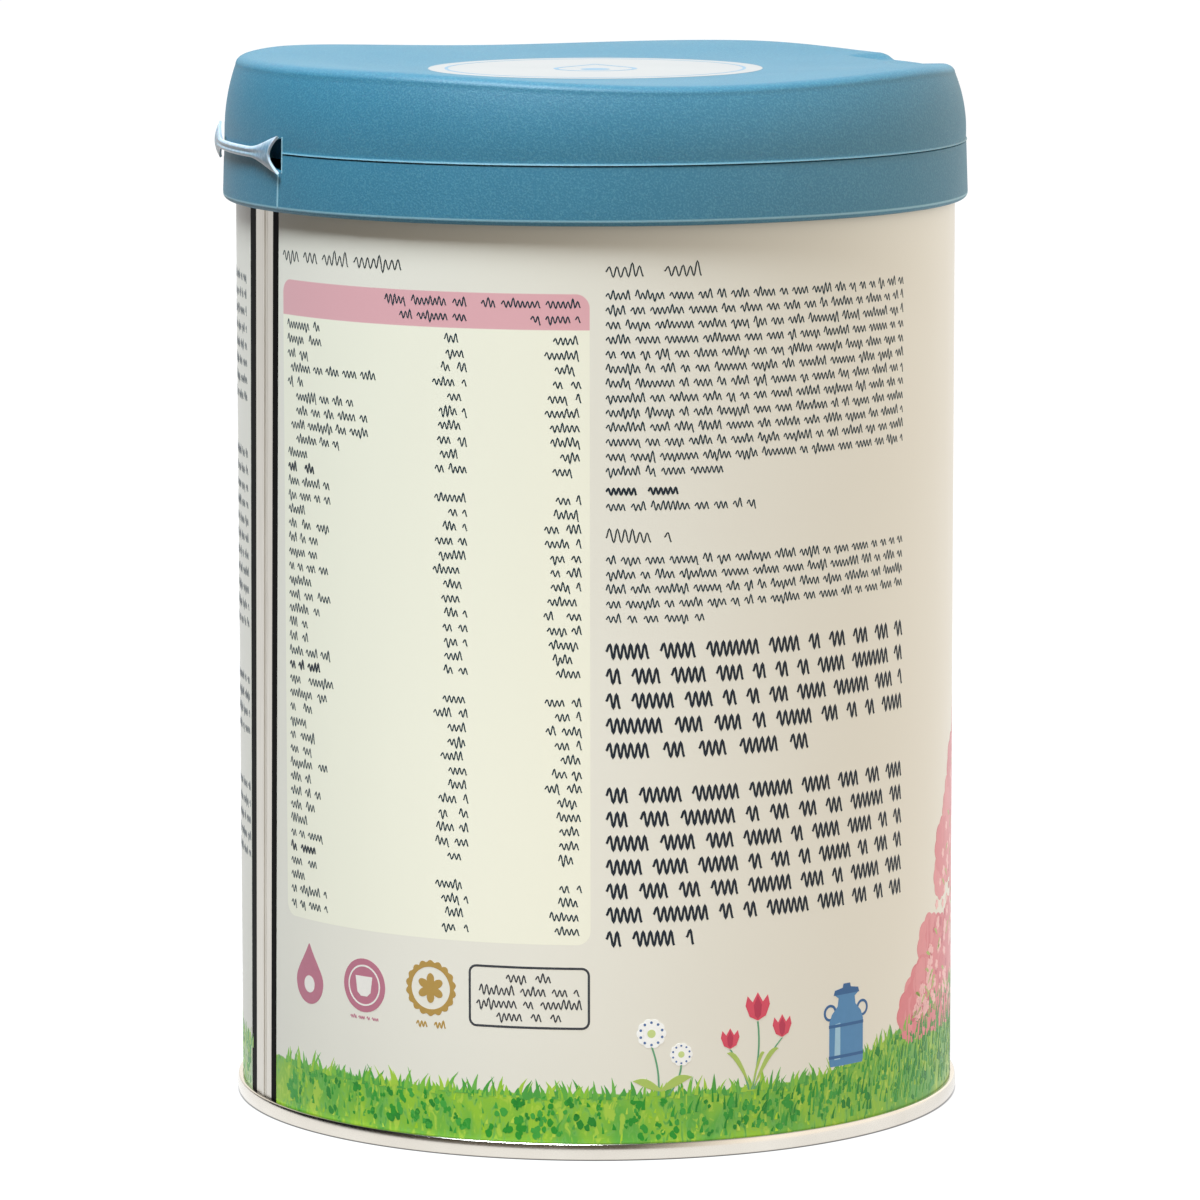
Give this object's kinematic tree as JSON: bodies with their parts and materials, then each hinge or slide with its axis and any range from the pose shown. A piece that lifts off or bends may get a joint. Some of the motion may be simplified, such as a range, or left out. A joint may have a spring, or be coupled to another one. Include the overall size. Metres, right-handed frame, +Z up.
{
  "type": "milk powder tin",
  "caption": "Shut round tin for milk powder, with a printed wall, a seamed metal base and a hinged flip-top plastic lid.",
  "frame": {"origin": "on the tin's axis, at the level of the foot ring it stands on", "axes": "+Z up along the tin's axis; the lid's hinge is at -X and its thumb ledge at +X; the side seam of the wall is near -X, towards -Y"},
  "size_m": [0.133, 0.1314, 0.1851],
  "materials": {
    "printed_wall": "satin varnish over a printed cream coat",
    "tinplate": "bright bare tinplate",
    "lid_plastic": "fine moulded grain, blue"
  },
  "bodies": {
    "root": {"tin_body": "printed_wall", "bottom_end": "tinplate", "lid_collar": "lid_plastic", "flip_lid": "lid_plastic", "hinge_strap": "lid_plastic"}
  },
  "joints": []
}
